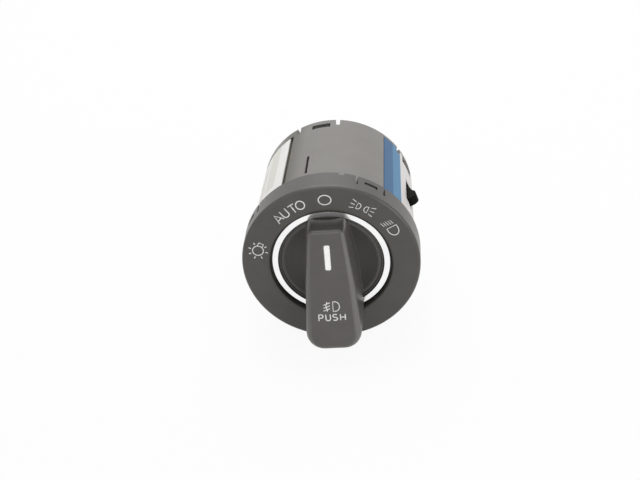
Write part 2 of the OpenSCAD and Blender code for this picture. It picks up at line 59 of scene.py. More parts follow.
def addNode(tree, kind, settings=None, links=None):
    # a key is an input's name or number, or else one of the node's own settings
    node = tree.nodes.new(kind)
    for key, value in (settings or {}).items():
        if isinstance(key, int) or key in node.inputs:
            node.inputs[key].default_value = value
        else:
            setattr(node, key, value)
    for key, source in (links or {}).items():
        tree.links.new(source, node.inputs[key])
    return node


def placed(mesh, name, material, body):
    piece = bpy.data.objects.new(name, mesh)
    bpy.context.scene.collection.objects.link(piece)
    mesh.materials.clear()
    mesh.materials.append(material)
    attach(piece, body)
    return piece


# Each row: colour and its darker mottle, roughness from and to, grain size and depth in mm,
# coat for a painted or clear surface, metal where it is one, edge for the radius in mm that a
# moulded or painted corner really has, wear for how far handling has polished that corner
# towards the worn colour in front of the depth proud, gloss for how much it mirrors, glow for a painted glow
# given off by a part that is no lamp.
finishes = {
    # glass-filled nylon, moulded in a spark-eroded tool: even matt grain with faint cloudy flow
    "mouldedGreyNylon": {"colour": "#7b7874", "dark": "#777470", "rough": (0.3, 0.42),
                         "grain": 0.34, "depth": 0.012, "cloud": 9.0, "edge": 0.18, "wear": 0.25, "worn": "#99968f", "proud": 60.0},
    # ABS under soft satin paint: a very fine orange peel that spreads the light
    "satinPaintedBezel": {"colour": "#4d4b47", "dark": "#484643", "rough": (0.3, 0.4),
                          "grain": 0.22, "depth": 0.006, "cloud": 7.0, "edge": 0.25, "wear": 0.25, "worn": "#6d6b67", "proud": -9.3},
    # ABS under the knob's soft satin paint; its wide, strong edge wear lightens the grip's rounded edges: partly
    # wear, partly painted highlight
    "satinPaintedKnob": {"colour": "#585552", "dark": "#53504d", "rough": (0.32, 0.42),
                         "grain": 0.2, "depth": 0.005, "cloud": 6.0, "edge": 0.8, "wear": 0.8, "worn": "#7c7975", "proud": -17.2},
    # clear acrylic, polished tool: smooth, faint blue tint
    "mouldedClearAcrylic": {"colour": "#e2ecee", "dark": "#dbe6e9", "rough": (0.06, 0.12),
                            "grain": 0.8, "depth": 0.001, "cloud": 8.0, "glass": 0.6},
    # ABS plated to a satin chrome: bright metal with a soft, slightly uneven sheen
    "satinChromePlate": {"colour": "#fbfbfb", "dark": "#f5f5f6", "rough": (0.12, 0.2),
                         "grain": 0.5, "depth": 0.0008, "cloud": 5.0, "metal": 1.0},
    # opal polycarbonate light bar: white, with a faint painted glow though no lamp lights it
    "mouldedOpalWhite": {"colour": "#fafaf8", "dark": "#f4f4f2", "rough": (0.3, 0.4),
                         "grain": 0.4, "depth": 0.002, "cloud": 3.0, "soft": 0.25, "glow": 0.16},
    # natural acetal, moulded: waxy off-white with soft low sheen
    "mouldedNaturalAcetal": {"colour": "#dad8cf", "dark": "#d0cec4", "rough": (0.34, 0.46),
                             "grain": 0.3, "depth": 0.004, "cloud": 5.0, "soft": 0.12},
    "mouldedGreyAcetal": {"colour": "#9a9da0", "dark": "#8f9296", "rough": (0.36, 0.48),
                          "grain": 0.3, "depth": 0.004, "cloud": 5.0},
    # glass-filled nylon in near-black, drawn matt
    "mouldedBlackNylon": {"colour": "#11120e", "dark": "#0d0e0a", "rough": (0.46, 0.6),
                          "grain": 0.3, "depth": 0.01, "cloud": 5.0, "edge": 0.2, "gloss": 0.06},
    # the same nylon in a slightly greyer black, fine spark texture: cover, its lugs and socket
    "mouldedDarkNylon": {"colour": "#222321", "dark": "#1d1e1c", "rough": (0.5, 0.62),
                         "grain": 0.3, "depth": 0.01, "cloud": 5.0, "edge": 0.2, "gloss": 0.25},
    # polyester film label with a white coated face: smooth, a faint paper-like tooth
    "coatedPaperLabel": {"colour": "#efeeeb", "dark": "#ebeae7", "rough": (0.42, 0.52),
                         "grain": 0.12, "depth": 0.003, "cloud": 6.0},
    # bright drawn spring wire
    "drawnSpringSteel": {"colour": "#c3c4c6", "dark": "#b5b7ba", "rough": (0.22, 0.34),
                         "grain": 0.25, "depth": 0.002, "cloud": 3.0, "metal": 1.0},
    # phenolic wafer: brown, slightly mottled
    "mouldedBrownPhenolic": {"colour": "#7a4f2c", "dark": "#6a4223", "rough": (0.34, 0.48),
                             "grain": 0.4, "depth": 0.004, "cloud": 2.0},
    # stamped contact brass, lightly tarnished
    "stampedContactBrass": {"colour": "#d3b36c", "dark": "#c2a05a", "rough": (0.2, 0.36),
                            "grain": 0.2, "depth": 0.002, "cloud": 2.5, "metal": 1.0},
    # tinned copper pins: pale, a little dull
    "tinnedPin": {"colour": "#cfcfca", "dark": "#c2c2bd", "rough": (0.24, 0.38),
                  "grain": 0.2, "depth": 0.002, "cloud": 2.0, "metal": 1.0},
    # green solder mask over laminate: glossy coat over a woven glass base
    "coatedBoardLaminate": {"colour": "#1f6b3f", "dark": "#195a35", "rough": (0.22, 0.34),
                            "grain": 0.5, "depth": 0.003, "cloud": 3.0, "coat": 0.4},
    # zinc-plated screw steel
    "zincPlatedSteel": {"colour": "#bfc1c3", "dark": "#aeb1b4", "rough": (0.26, 0.4),
                        "grain": 0.3, "depth": 0.002, "cloud": 2.0, "metal": 1.0},
    # epoxy of the board's parts
    "mouldedDarkEpoxy": {"colour": "#2b2b2c", "dark": "#232324", "rough": (0.38, 0.5),
                         "grain": 0.2, "depth": 0.003, "cloud": 2.0},
    # white two-pack ink, pad printed and lasered: thin, matt, even
    "padPrintedWhite": {"colour": "#f2f1ed", "dark": "#e9e8e3", "rough": (0.5, 0.6),
                        "grain": 0.15, "depth": 0.001, "cloud": 1.5},
}


def makeFinish(name):
    finish = finishes[name]
    material = bpy.data.materials.new(name)
    material.use_nodes = True
    tree = material.node_tree
    shader = tree.nodes["Principled BSDF"]
    place = addNode(tree, "ShaderNodeTexCoord").outputs["Object"]
    cloud = addNode(tree, "ShaderNodeTexNoise", {"Scale": 1000 / finish["cloud"], "Detail": 3.0},
                    {"Vector": place})
    grain = addNode(tree, "ShaderNodeTexNoise", {"Scale": 1000 / finish["grain"], "Detail": 2.0},
                    {"Vector": place})
    mottle = addNode(tree, "ShaderNodeValToRGB", links={"Fac": cloud.outputs["Fac"]})
    mottle.color_ramp.elements[0].position = 0.32
    mottle.color_ramp.elements[0].color = linearHex(finish["dark"])
    mottle.color_ramp.elements[1].position = 0.68
    mottle.color_ramp.elements[1].color = linearHex(finish["colour"])
    tree.links.new(mottle.outputs["Color"], shader.inputs["Base Color"])
    low, high = finish["rough"]
    rough = addNode(tree, "ShaderNodeMapRange",
                    {"From Min": 0.3, "From Max": 0.7, "To Min": low, "To Max": high},
                    {"Value": grain.outputs["Fac"]})
    tree.links.new(rough.outputs["Result"], shader.inputs["Roughness"])
    bump = addNode(tree, "ShaderNodeBump", {"Strength": 0.6, "Distance": finish["depth"] * mm},
                   {"Height": grain.outputs["Fac"]})
    if "edge" in finish:
        corner = addNode(tree, "ShaderNodeBevel", {"samples": 6, "Radius": finish["edge"] * mm})
        tree.links.new(corner.outputs["Normal"], bump.inputs["Normal"])
    if "wear" in finish:
        # where the rounded corner turns away from the flat face, the surface is lightened: worn by handling, and
        # on the knob partly a painted highlight
        flat = addNode(tree, "ShaderNodeNewGeometry").outputs["Normal"]
        turned = addNode(tree, "ShaderNodeVectorMath", {"operation": "DOT_PRODUCT"},
                         {0: corner.outputs["Normal"], 1: flat})
        lightened = addNode(tree, "ShaderNodeMapRange",
                         {"From Min": 0.985, "From Max": 0.86, "To Min": 0.0, "To Max": finish["wear"]},
                         {"Value": turned.outputs["Value"]})
        # only what stands proud of the panel is handled
        split = addNode(tree, "ShaderNodeSeparateXYZ", links={"Vector": place})
        proud = addNode(tree, "ShaderNodeMath", {"operation": "LESS_THAN", 1: finish["proud"] * mm},
                        {0: split.outputs["Y"]})
        share = addNode(tree, "ShaderNodeMath", {"operation": "MULTIPLY"},
                        {0: lightened.outputs["Result"], 1: proud.outputs[0]})
        worn = addNode(tree, "ShaderNodeMix", {"data_type": "RGBA", 7: linearHex(finish["worn"])},
                       {0: share.outputs[0], 6: mottle.outputs["Color"]})
        tree.links.new(worn.outputs[2], shader.inputs["Base Color"])
    tree.links.new(bump.outputs["Normal"], shader.inputs["Normal"])
    shader.inputs["Metallic"].default_value = finish.get("metal", 0.0)
    shader.inputs["Coat Weight"].default_value = finish.get("coat", 0.0)
    shader.inputs["Transmission Weight"].default_value = finish.get("glass", 0.0)
    shader.inputs["Specular IOR Level"].default_value = finish.get("gloss", 0.5)
    if "glow" in finish:
        shader.inputs["Emission Color"].default_value = (1, 1, 1, 1)
        shader.inputs["Emission Strength"].default_value = finish["glow"]
    if "soft" in finish:
        shader.inputs["Subsurface Weight"].default_value = finish["soft"]
        shader.inputs["Subsurface Radius"].default_value = (0.001, 0.001, 0.001)
        shader.inputs["Subsurface Scale"].default_value = 1.0
    return material


materials = {name: makeFinish(name) for name in finishes}

nodeFinish = {
    "housing": "mouldedGreyNylon", "rear_cover": "mouldedDarkNylon",
    "bezel": "satinPaintedBezel", "bezel_light_guide": "mouldedClearAcrylic",
    "knob": "satinPaintedKnob", "knob_ring": "satinChromePlate",
    "pointer_lens": "mouldedOpalWhite", "knob_sleeve": "mouldedBlackNylon",
    "rotor": "mouldedGreyAcetal", "rotor_retaining_ring": "drawnSpringSteel",
    "contact_carrier": "mouldedBrownPhenolic", "wiper_contacts": "stampedContactBrass",
    "detent_spring": "drawnSpringSteel", "return_spring": "drawnSpringSteel",
    "circuit_board": "coatedBoardLaminate", "board_screws": "zincPlatedSteel",
    "fog_switch": "mouldedDarkEpoxy", "fog_switch_plunger": "mouldedNaturalAcetal",
    "terminal_pins": "tinnedPin", "board_lamps": "mouldedOpalWhite",
    "board_components": "mouldedDarkEpoxy", "side_clip_right": "mouldedBlackNylon",
    "side_clip_left": "mouldedBlackNylon",
}
for nodeName, finishName in nodeFinish.items():
    for slot in nodes[nodeName].material_slots:
        slot.material = materials[finishName]
print("finishes: %d materials on %d nodes" % (len(materials), len(nodeFinish)))

# the two labels carry plain fields of colour, set by clock angle round the body
labelFields = {
    # name: clock angles from and to, depth from and to in mm, colour
    # on label_right, painted shade: its white is a duller grey-white than the left label's same paper, and its
    # one blue print is split into a darker field towards the left and a lighter one towards the right
    "label_right": [(42.8, 51.5, -5, 60, "#285983"), (51.5, 60.5, -5, 60, "#437ba3"),
                    (60.5, 113.0, -5, 60, "#dbd8d6")],
    "label_left": [(-53.0, -42.5, 10, 41, "#dddbd3"), (-75.0, -56.0, 6, 34, "#e4e2db")],
}


def makeLabel(name, fields):
    material = makeFinish("coatedPaperLabel")
    material.name = "coatedPaperLabel_" + name
    tree = material.node_tree
    shader = tree.nodes["Principled BSDF"]
    colour = shader.inputs["Base Color"].links[0].from_socket
    place = addNode(tree, "ShaderNodeTexCoord").outputs["Object"]
    split = addNode(tree, "ShaderNodeSeparateXYZ", links={"Vector": place})
    clock = addNode(tree, "ShaderNodeMath", {"operation": "ARCTAN2"},
                    {0: split.outputs["X"], 1: split.outputs["Z"]}).outputs[0]
    for start, stop, near, far, tint in fields:
        inside = None
        edges = [(clock, radians(start), radians(stop)), (split.outputs["Y"], near * mm, far * mm)]
        for value, low, high in edges:
            middle, half = (low + high) / 2, (high - low) / 2
            test = addNode(tree, "ShaderNodeMath", {"operation": "COMPARE", 1: middle, 2: half},
                           {0: value}).outputs[0]
            if inside is None:
                inside = test
            else:
                inside = addNode(tree, "ShaderNodeMath", {"operation": "MULTIPLY"},
                                 {0: inside, 1: test}).outputs[0]
        mix = addNode(tree, "ShaderNodeMix", {"data_type": "RGBA", 7: linearHex(tint)},
                      {0: inside, 6: colour})
        colour = mix.outputs[2]
    tree.links.new(colour, shader.inputs["Base Color"])
    return material


# painted shade: the housing is coloured a darker, browner grey beside the left label's edge and round behind it,
# where shade falls
labelShade = {"behind": -46.0, "edge": -34.0, "from": -31.5, "to": -17.0, "colour": "#504d42"}


def shadeHousing(material):
    tree = material.node_tree
    shader = tree.nodes["Principled BSDF"]
    plain = shader.inputs["Base Color"].links[0].from_socket
    place = addNode(tree, "ShaderNodeTexCoord").outputs["Object"]
    split = addNode(tree, "ShaderNodeSeparateXYZ", links={"Vector": place})
    clock = addNode(tree, "ShaderNodeMath", {"operation": "ARCTAN2"},
                    {0: split.outputs["X"], 1: split.outputs["Z"]})
    fade = addNode(tree, "ShaderNodeMapRange",
                   {"interpolation_type": "SMOOTHSTEP", "From Min": radians(labelShade["from"]),
                    "From Max": radians(labelShade["to"]), "To Min": 0.0, "To Max": 1.0},
                   {"Value": clock.outputs[0]})
    behind = addNode(tree, "ShaderNodeMapRange",
                     {"interpolation_type": "SMOOTHSTEP", "From Min": radians(labelShade["behind"]),
                      "From Max": radians(labelShade["edge"]), "To Min": 1.0, "To Max": 0.0},
                     {"Value": clock.outputs[0]})
    share = addNode(tree, "ShaderNodeMath", {"operation": "MAXIMUM"},
                    {0: fade.outputs["Result"], 1: behind.outputs["Result"]})
    mix = addNode(tree, "ShaderNodeMix", {"data_type": "RGBA", 6: linearHex(labelShade["colour"])},
                  {0: share.outputs[0], 7: plain})
    tree.links.new(mix.outputs[2], shader.inputs["Base Color"])


# painted shade: the dish and the grip's upward-facing end are coloured darker than the grip's paint, where shade
# falls in the recess and on the end,
# and painted highlight: the grip's side-facing rounded shoulders at its front are coloured a little lighter
paintedDishShade = {"depth": -8.3, "endFacing": 0.72, "colour": "#454340"}
shoulderHighlight = {"from": 0.22, "full": 0.5, "fade": 0.86, "to": 0.99, "low": -14.0, "high": -18.0,
               "share": 0.55, "colour": "#7d7a76"}


def paintHighlightAndShade(material):
    tree = material.node_tree
    shader = tree.nodes["Principled BSDF"]
    paint = shader.inputs["Base Color"].links[0].from_socket
    coords = addNode(tree, "ShaderNodeTexCoord")
    split = addNode(tree, "ShaderNodeSeparateXYZ", links={"Vector": coords.outputs["Object"]})
    facing = addNode(tree, "ShaderNodeSeparateXYZ", links={"Vector": coords.outputs["Normal"]})
    # painted highlight: side-facing surfaces at the grip's front are lightened
    across = addNode(tree, "ShaderNodeMath", {"operation": "ABSOLUTE"}, {0: facing.outputs["X"]})
    rise = addNode(tree, "ShaderNodeMapRange",
                   {"From Min": shoulderHighlight["from"], "From Max": shoulderHighlight["full"],
                    "To Min": 0.0, "To Max": shoulderHighlight["share"]}, {"Value": across.outputs[0]})
    fall = addNode(tree, "ShaderNodeMapRange",
                   {"From Min": shoulderHighlight["fade"], "From Max": shoulderHighlight["to"],
                    "To Min": 1.0, "To Max": 0.0}, {"Value": across.outputs[0]})
    highlight = addNode(tree, "ShaderNodeMath", {"operation": "MULTIPLY"},
                  {0: rise.outputs["Result"], 1: fall.outputs["Result"]})
    height = addNode(tree, "ShaderNodeMapRange",
                     {"From Min": shoulderHighlight["low"] * mm, "From Max": shoulderHighlight["high"] * mm,
                      "To Min": 0.0, "To Max": 1.0}, {"Value": split.outputs["Y"]})
    highlightShare = addNode(tree, "ShaderNodeMath", {"operation": "MULTIPLY"},
                      {0: highlight.outputs[0], 1: height.outputs["Result"]})
    lightened = addNode(tree, "ShaderNodeMix", {"data_type": "RGBA", 7: linearHex(shoulderHighlight["colour"])},
                     {0: highlightShare.outputs[0], 6: paint})
    # painted shade: the recessed dish and the upward-facing end are darkened
    deep = addNode(tree, "ShaderNodeMath", {"operation": "GREATER_THAN", 1: paintedDishShade["depth"] * mm},
                   {0: split.outputs["Y"]})
    end = addNode(tree, "ShaderNodeMath", {"operation": "GREATER_THAN", 1: paintedDishShade["endFacing"]},
                  {0: facing.outputs["Z"]})
    shaded = addNode(tree, "ShaderNodeMath", {"operation": "MAXIMUM"}, {0: deep.outputs[0], 1: end.outputs[0]})
    mix = addNode(tree, "ShaderNodeMix", {"data_type": "RGBA", 7: linearHex(paintedDishShade["colour"])},
                  {0: shaded.outputs[0], 6: lightened.outputs[2]})
    tree.links.new(mix.outputs[2], shader.inputs["Base Color"])


# painted shade: the rounded edge of the bezel's bore, and all inside it, is coloured near-black where shade
# falls in the gap round the ring
paintedBoreShade = {"from": 21.95, "to": 22.35, "colour": "#24231f"}


def paintBoreShade(material):
    tree = material.node_tree
    shader = tree.nodes["Principled BSDF"]
    paint = shader.inputs["Base Color"].links[0].from_socket
    place = addNode(tree, "ShaderNodeTexCoord").outputs["Object"]
    flat = addNode(tree, "ShaderNodeVectorMath", {"operation": "MULTIPLY", 1: (1, 0, 1)}, {0: place})
    radius = addNode(tree, "ShaderNodeVectorMath", {"operation": "LENGTH"}, {0: flat.outputs[0]})
    share = addNode(tree, "ShaderNodeMapRange",
                    {"From Min": paintedBoreShade["from"] * mm, "From Max": paintedBoreShade["to"] * mm,
                     "To Min": 0.0, "To Max": 1.0}, {"Value": radius.outputs["Value"]})
    mix = addNode(tree, "ShaderNodeMix", {"data_type": "RGBA", 6: linearHex(paintedBoreShade["colour"])},
                  {0: share.outputs["Result"], 7: paint})
    tree.links.new(mix.outputs[2], shader.inputs["Base Color"])


shadeHousing(materials["mouldedGreyNylon"])
paintBoreShade(materials["satinPaintedBezel"])
paintHighlightAndShade(materials["satinPaintedKnob"])
for labelName, fields in labelFields.items():
    for slot in nodes[labelName].material_slots:
        slot.material = makeLabel(labelName, fields)

# the left label is one film that fills its pocket up to the rear edge
leftFilm = {"from": -94.0, "to": -33.6, "near": 3.0, "far": 42.2, "sunk": 0.47, "thick": 0.43, "steps": 40}
bodySkin = {"front": 30.0, "rear": 28.9, "depth": 47.2}


def skinRadius(depth):
    return bodySkin["front"] - (bodySkin["front"] - bodySkin["rear"]) * depth / bodySkin["depth"]


def makeLeftFilm():
    film = leftFilm
    shape = bmesh.new()
    bmesh.ops.create_grid(shape, x_segments=film["steps"], y_segments=8, size=0.5)
    for spot in shape.verts:
        turn = radians(film["from"] + (film["to"] - film["from"]) * (spot.co.x + 0.5))
        depth = film["near"] + (film["far"] - film["near"]) * (spot.co.y + 0.5)
        radius = skinRadius(depth) - film["sunk"]
        spot.co = Vector((radius * sin(turn), depth, radius * cos(turn))) * mm
    bmesh.ops.recalc_face_normals(shape, faces=shape.faces)
    face = next(iter(shape.faces))
    outward = face.normal.dot(Vector((face.calc_center_median().x, 0, face.calc_center_median().z)))
    if outward < 0:
        bmesh.ops.reverse_faces(shape, faces=shape.faces)
    bmesh.ops.solidify(shape, geom=shape.faces[:], thickness=-film["thick"] * mm)
    bmesh.ops.recalc_face_normals(shape, faces=shape.faces)
    mesh = bpy.data.meshes.new("label_left_film")
    shape.to_mesh(mesh)
    shape.free()
    mesh.shade_smooth()
    mesh.set_sharp_from_angle(angle=radians(40))
    piece = placed(mesh, "label_left_film", nodes["label_left"].material_slots[0].material,
                   "switch_body")
    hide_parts("label_left")


makeLeftFilm()
print("labels: %d" % len(labelFields))


# the plated ring is very slightly domed across its face; the lip inside it is painted with the knob
ringFace = {"inner": 19.08, "outer": 21.14, "front": -8.42, "dome": 0.025, "back": -6.2, "steps": 160}
lipFace = {"inner": 17.5, "outer": 18.75, "foot": -7.2, "top": -8.12, "steps": 120}


def spunRing(name, profile, steps):
    # profile points are radius and depth in mm, turned once round the knob's axis
    shape = bmesh.new()
    spots = [shape.verts.new((r * mm, y * mm, 0)) for r, y in profile]
    edges = [shape.edges.new((a, b)) for a, b in zip(spots, spots[1:] + spots[:1])]
    bmesh.ops.spin(shape, geom=spots + edges, cent=(0, 0, 0), axis=(0, 1, 0), dvec=(0, 0, 0),
                   angle=radians(360), steps=steps, use_merge=True)
    bmesh.ops.remove_doubles(shape, verts=shape.verts, dist=1e-7)
    bmesh.ops.recalc_face_normals(shape, faces=shape.faces)
    mesh = bpy.data.meshes.new(name)
    shape.to_mesh(mesh)
    shape.free()
    mesh.shade_smooth()
    mesh.set_sharp_from_angle(angle=radians(25))
    return mesh


def makeRing():
    inner, outer, front = ringFace["inner"], ringFace["outer"], ringFace["front"]
    middle, half = (inner + outer) / 2, (outer - inner) / 2
    profile = [(outer, ringFace["back"]), (outer, front + 0.05)]
    for i in range(9):
        across = 1 - i / 4
        profile.append((middle + across * (half - 0.04), front - ringFace["dome"] * (1 - across * across)))
    profile += [(inner, front + 0.05), (inner, ringFace["back"])]
    ring = placed(spunRing("knob_ring_domed", profile, ringFace["steps"]), "knob_ring_domed",
                  materials["satinChromePlate"], "knob_unit")
    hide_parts("knob_ring")


def makeLip():
    inner, outer, foot, top = lipFace["inner"], lipFace["outer"], lipFace["foot"], lipFace["top"]
    profile = [(outer, foot), (outer, top + 0.15), (outer - 0.2, top), (outer - 0.55, top + 0.05),
               (inner, foot)]
    placed(spunRing("knob_lip", profile, lipFace["steps"]), "knob_lip",
           materials["satinPaintedKnob"], "knob_unit")


# the spring that returns the knob, with closed end turns
coil = {"wire": 0.5, "turns": 9, "stepsPerTurn": 24, "sides": 10, "travel": 2.0}


def makeReturnSpring():
    low, high = (Vector(corner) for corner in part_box("return_spring"))
    wire, steps = coil["wire"] * mm, coil["stepsPerTurn"]
    length = high.y - low.y
    radius = (high.x - low.x - wire) / 2
    closed = wire * 1.01
    rise = (length - wire - 2 * closed) / (coil["turns"] - 2)
    shape = bmesh.new()
    bmesh.ops.create_circle(shape, segments=coil["sides"], radius=wire / 2, cap_ends=True)
    bmesh.ops.translate(shape, verts=shape.verts, vec=(radius, low.y + wire / 2, 0))
    last = shape.verts[:] + shape.edges[:] + shape.faces[:]
    for turns, pitch in ((1, closed), (coil["turns"] - 2, rise), (1, closed)):
        made = bmesh.ops.spin(shape, geom=last, cent=(0, 0, 0), axis=(0, 1, 0), dvec=(0, pitch / steps, 0),
                              angle=radians(360 * turns), steps=steps * turns, use_merge=False)
        last = made["geom_last"]
    bmesh.ops.recalc_face_normals(shape, faces=shape.faces)
    mesh = bpy.data.meshes.new("return_spring_coil")
    shape.to_mesh(mesh)
    shape.free()
    mesh.shade_smooth()
    mesh.set_sharp_from_angle(angle=radians(50))
    spring = placed(mesh, "return_spring_coil", materials["drawnSpringSteel"], "rotor_unit")
    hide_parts("return_spring")
    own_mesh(spring)


makeRing()
makeLip()
makeReturnSpring()
print("ring, lip and return spring made")


def arc(x, y, rx, ry, start, stop, steps=14):
    turns = [radians(start + (stop - start) * i / steps) for i in range(steps + 1)]
    return [(x + rx * cos(t), y + ry * sin(t)) for t in turns]


def ringStrokes(rx, ry):
    return [(arc(0, 0, rx, ry, 0, 360 - 360 / 28, 27), True)]


def letterStrokes(letter, w, h):
    a, b = w / 2, h / 2
    if letter == "A":
        bar = -b + h * 0.3
        side = a * (b - bar) / h
        return [([(-a, -b), (0, b), (a, -b)], False), ([(-side, bar), (side, bar)], False)]
    if letter == "U":
        return [([(-a, b)] + arc(0, -b + a * 0.85, a, a * 0.85, 180, 360, 12) + [(a, b)], False)]
    if letter == "T":
        return [([(-a, b), (a, b)], False), ([(0, b), (0, -b)], False)]
    if letter == "P":
        bowl = h * 0.27
        return [([(-a, -b), (-a, b)], False),
                ([(-a, b), (a - bowl, b)] + arc(a - bowl, b - bowl, bowl, bowl, 90, -90, 10)
                 + [(-a, b - 2 * bowl)], False)]
    if letter == "S":
        q = b / 2
        upper = arc(0, q, a, q, 35, 270, 14)
        lower = arc(0, -q, a, q, 90, -145, 14)
        return [(upper + lower[1:], False)]
    if letter == "H":
        return [([(-a, -b), (-a, b)], False), ([(a, -b), (a, b)], False), ([(-a, 0), (a, 0)], False)]
    return []


def lampOutline(flat, height, width, side=1):
    # a lamp seen from the side: flat glass at x = flat, round reflector behind it
    bulge = arc(flat + side * width * 0.3, 0, width * 0.7, height / 2, 90, -90, 14)
    if side < 0:
        bulge = [(2 * (flat - width * 0.3) - x, y) for x, y in bulge]
    return [([(flat, height / 2)] + bulge + [(flat, -height / 2)], True)]


def sideLampStrokes():
    strokes = lampOutline(2.05, 2.35, 1.35, -1) + lampOutline(-2.05, 2.35, 1.35, 1)
    for v, rise in ((1.3, 0.5), (0, 0), (-1.3, -0.5)):
        strokes += [([(2.85, v), (4.5, v + rise)], False), ([(-2.85, v), (-4.5, v + rise)], False)]
    return strokes


def lowBeamStrokes():
    return lampOutline(-0.62, 3.75, 3.6, 1)


def lowBeamRayStrokes():
    # five rays that dip towards the road
    return [([(-1.9 + 0.1 * k, 0.86 * k - 2.13), (-3.75 + 0.1 * k, 0.86 * k - 2.6)], False)
            for k in range(5)]


def bulbStrokes():
    strokes = ringStrokes(1.95, 1.95)
    return strokes + [([(-0.9, 1.73), (-0.9, 3.2), (0.9, 3.2), (0.9, 1.73)], False)]


def bulbRayStrokes():
    strokes = []
    for turn in (38, 82, 134, 181, 225, 267, 314):
        t = radians(90 - turn)
        strokes.append(([(2.65 * cos(t), 2.65 * sin(t)), (3.6 * cos(t), 3.6 * sin(t))], False))
    return strokes


def fogStrokes():
    strokes = lampOutline(0.55, 3.6, 2.3, 1)
    for v in (1.25, 0.15, -0.9):
        strokes.append(([(-0.5, v + 0.2), (-2.9, v - 0.65)], False))
    wave = [(-1.72 + 0.2 * sin(radians(90 + 200 * i / 6)), 1.85 - 3.7 * i / 12) for i in range(13)]
    strokes.append((wave, False))
    return strokes


# name: strokes, line width in mm, clock angle, radius and turn of the mark on the bezel
bezelMarks = {
    "mark_off": {"strokes": ringStrokes(2.22, 1.88), "line": 0.42, "clock": 0.45, "radius": 26.68, "turn": 2},
    "mark_auto_A": {"strokes": letterStrokes("A", 2.65, 3.45), "line": 0.44, "clock": -39.8,
                    "radius": 26.2, "turn": -48},
    "mark_auto_U": {"strokes": letterStrokes("U", 2.3, 3.4), "line": 0.44, "clock": -32.7, "radius": 26.3,
                    "turn": -36},
    "mark_auto_T": {"strokes": letterStrokes("T", 2.45, 3.4), "line": 0.44, "clock": -25.1, "radius": 26.25,
                    "turn": -31},
    "mark_auto_O": {"strokes": ringStrokes(1.55, 1.66), "line": 0.44, "clock": -18.7, "radius": 26.5,
                    "turn": -19},
    "mark_side_lamps": {"strokes": sideLampStrokes(), "line": 0.28, "clock": 29.8, "radius": 26.2,
                        "turn": 30},
    "mark_low_beam": {"strokes": lowBeamStrokes(), "line": 0.34, "clock": 58.8, "radius": 26.7,
                      "turn": 63},
    "mark_low_beam_rays": {"strokes": lowBeamRayStrokes(), "line": 0.24, "clock": 58.8, "radius": 26.7,
                           "turn": 63},
    "mark_all_lamps": {"strokes": bulbStrokes(), "line": 0.36, "clock": -74.0, "radius": 26.5, "turn": 27},
    "mark_all_lamps_rays": {"strokes": bulbRayStrokes(), "line": 0.42, "clock": -74.0, "radius": 26.5,
                            "turn": 27},
}
# x and height on the grip's sloping face
gripMarks = {
    "mark_fog": {"strokes": fogStrokes(), "line": 0.34, "x": 0.0, "z": -9.0},
    "mark_push_P": {"strokes": letterStrokes("P", 1.5, 2.3), "line": 0.42, "x": -4.0, "z": -12.95},
    "mark_push_U": {"strokes": letterStrokes("U", 1.6, 2.3), "line": 0.42, "x": -1.45, "z": -12.95},
    "mark_push_S": {"strokes": letterStrokes("S", 1.6, 2.3), "line": 0.42, "x": 1.05, "z": -12.95},
    "mark_push_H": {"strokes": letterStrokes("H", 1.7, 2.3), "line": 0.42, "x": 3.8, "z": -12.95},
}
bezelFace = {"y": -10.0, "ink": 0.03}
gripFace = {"y": -21.2, "slope": 0.25, "ink": 0.03}


def inkMesh(name, strokes, line, ink):
    # round strokes along each path, pressed flat to the ink's thickness
    curve = bpy.data.curves.new(name + "_path", "CURVE")
    curve.dimensions = "3D"
    curve.bevel_depth = line / 2
    curve.bevel_resolution = 2
    curve.use_fill_caps = True
    for points, closed in strokes:
        spline = curve.splines.new("POLY")
        spline.points.add(len(points) - 1)
        for spot, (u, v) in zip(spline.points, points):
            spot.co = (u, v, 0, 1)
        spline.use_cyclic_u = closed
    holder = bpy.data.objects.new(name + "_path", curve)
    mesh = bpy.data.meshes.new_from_object(holder)
    bpy.data.objects.remove(holder)
    mesh.name = name
    shape = bmesh.new()
    shape.from_mesh(mesh)
    bmesh.ops.scale(shape, vec=(1, 1, ink / line), verts=shape.verts)
    bmesh.ops.remove_doubles(shape, verts=shape.verts, dist=1e-5)
    bmesh.ops.recalc_face_normals(shape, faces=shape.faces)
    shape.to_mesh(mesh)
    shape.free()
    return mesh


def bezelPlace(mark):
    clock, turn = radians(mark["clock"]), radians(mark["turn"])
    right = Vector((cos(turn), 0, -sin(turn)))
    up = Vector((sin(turn), 0, cos(turn)))
    out = Vector((0, -1, 0))
    spot = Vector((mark["radius"] * sin(clock), bezelFace["y"], mark["radius"] * cos(clock)))
    return right, up, out, spot + out * bezelFace["ink"] * 0.3


def gripPlace(mark):
    slope = gripFace["slope"]
    right = Vector((1, 0, 0))
    up = Vector((0, slope, 1)).normalized()
    out = right.cross(up)
    spot = Vector((mark["x"], gripFace["y"] + slope * mark["z"], mark["z"]))
    return right, up, out, spot + out * gripFace["ink"] * 0.3


def addMark(name, mark, place, face, body):
    mesh = inkMesh(name, mark["strokes"], mark["line"], face["ink"])
    right, up, out, spot = place(mark)
    turn = Matrix((right, up, out)).transposed().to_4x4()
    mesh.transform(Matrix.Scale(mm, 4) @ Matrix.Translation(spot) @ turn)
    placed(mesh, name, materials["padPrintedWhite"], body)


for markName, mark in bezelMarks.items():
    addMark(markName, mark, bezelPlace, bezelFace, "switch_body")
for markName, mark in gripMarks.items():
    addMark(markName, mark, gripPlace, gripFace, "knob_unit")
print("markings: %d" % (len(bezelMarks) + len(gripMarks)))

stageSizes = {"floorZ": -0.0321, "floor": 3.0, "white": 0.93, "room": 0.4}


